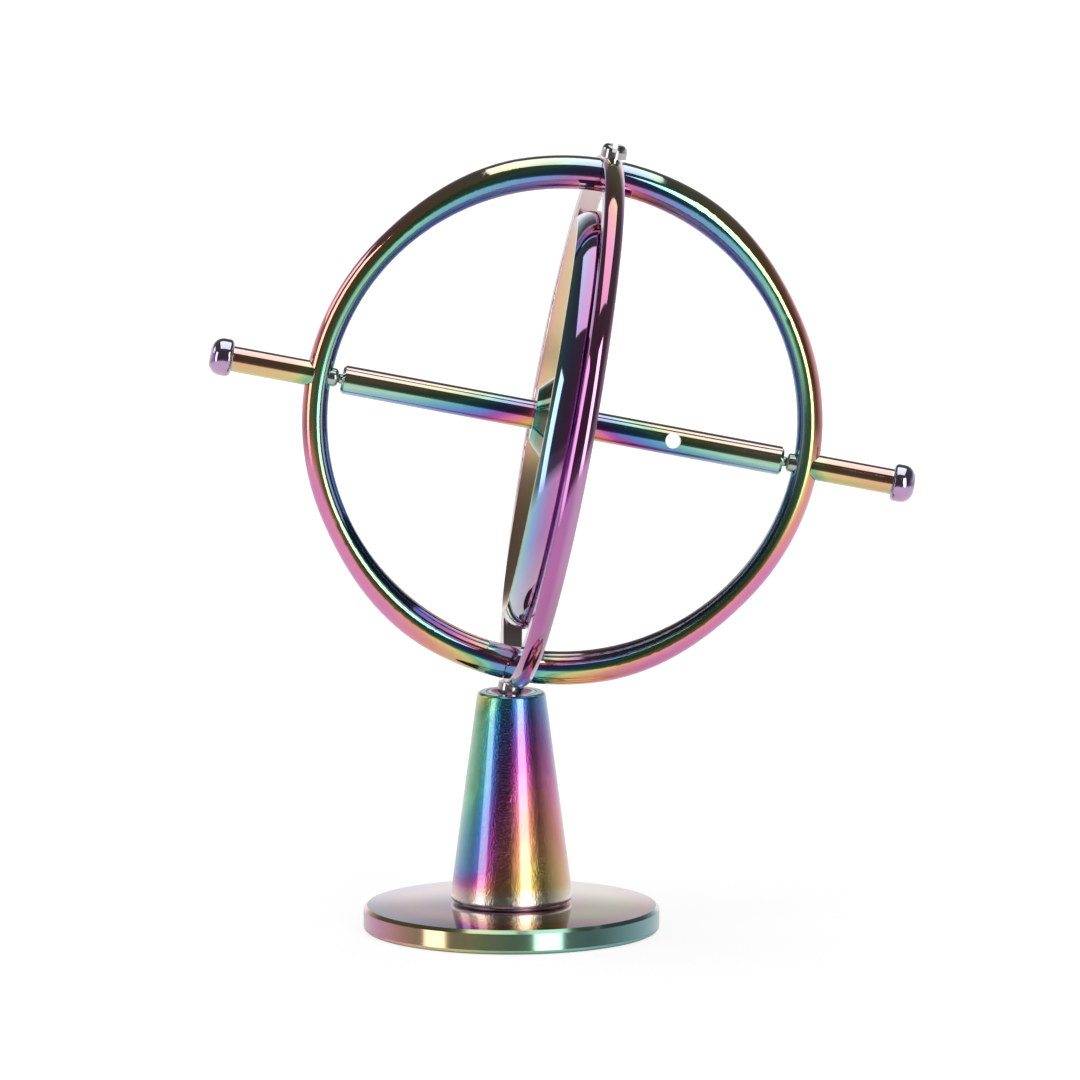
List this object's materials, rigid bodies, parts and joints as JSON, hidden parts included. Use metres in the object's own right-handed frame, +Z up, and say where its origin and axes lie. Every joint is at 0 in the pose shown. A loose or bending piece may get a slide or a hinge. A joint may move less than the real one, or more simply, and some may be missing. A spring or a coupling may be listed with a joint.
{
  "type": "gyroscope on stand",
  "caption": "Polished toy gyroscope balanced leaning on a turned pedestal: a flywheel on a pointed axle inside crossed rings, with round-ended handles.",
  "frame": {"origin": "centre of the base disc's underside, on the pedestal's axis", "axes": "+Z up along the pedestal, +X towards the side the gyroscope leans to, its axle lying in the XZ plane; +Y completes the right-handed set"},
  "size_m": [0.082, 0.0632, 0.0926],
  "materials": {
    "rainbow_polished": "mirror-polished metal with a rainbow heat-tint coating",
    "rainbow_satin": "fine-grained satin metal with the same rainbow coating",
    "hardened_steel": "ground, uncoated",
    "plain_steel": "zinc plated"
  },
  "bodies": {
    "stand": {"base_disc": "rainbow_polished", "base_screw": "plain_steel", "neck_collar": "rainbow_polished", "pedestal_cone": "rainbow_satin"},
    "cup": {"pivot_cup": "rainbow_polished"},
    "gyro_frame": {"meridian_ring": "rainbow_polished", "equator_ring": "rainbow_polished", "crossing_screws": "rainbow_polished", "left_post": "rainbow_polished", "right_post": "rainbow_polished", "left_bearing_cup": "rainbow_polished", "right_bearing_cup": "rainbow_polished"},
    "rotor": {"axle_rod": "rainbow_polished", "left_pivot_point": "hardened_steel", "right_pivot_point": "hardened_steel", "flywheel_rim": "rainbow_polished", "flywheel_web": "rainbow_polished", "left_hub_collar": "rainbow_polished", "right_hub_collar": "rainbow_polished"}
  },
  "joints": [
    {"name": "precession", "type": "hinge", "parent": "stand", "child": "cup", "pos_m": [0, 0, 0.0265], "axis": [0, 0, 1], "continuous": true},
    {"name": "lean", "type": "hinge", "parent": "cup", "child": "gyro_frame", "pos_m": [0, 0, 0.02907], "axis": [0, 1, 0], "range_deg": [-30.8, 9.2]},
    {"name": "rotor_spin", "type": "hinge", "parent": "gyro_frame", "child": "rotor", "pos_m": [0.0059, 0, 0.06001], "axis": [0.9823, 0, -0.1874], "continuous": true}
  ]
}
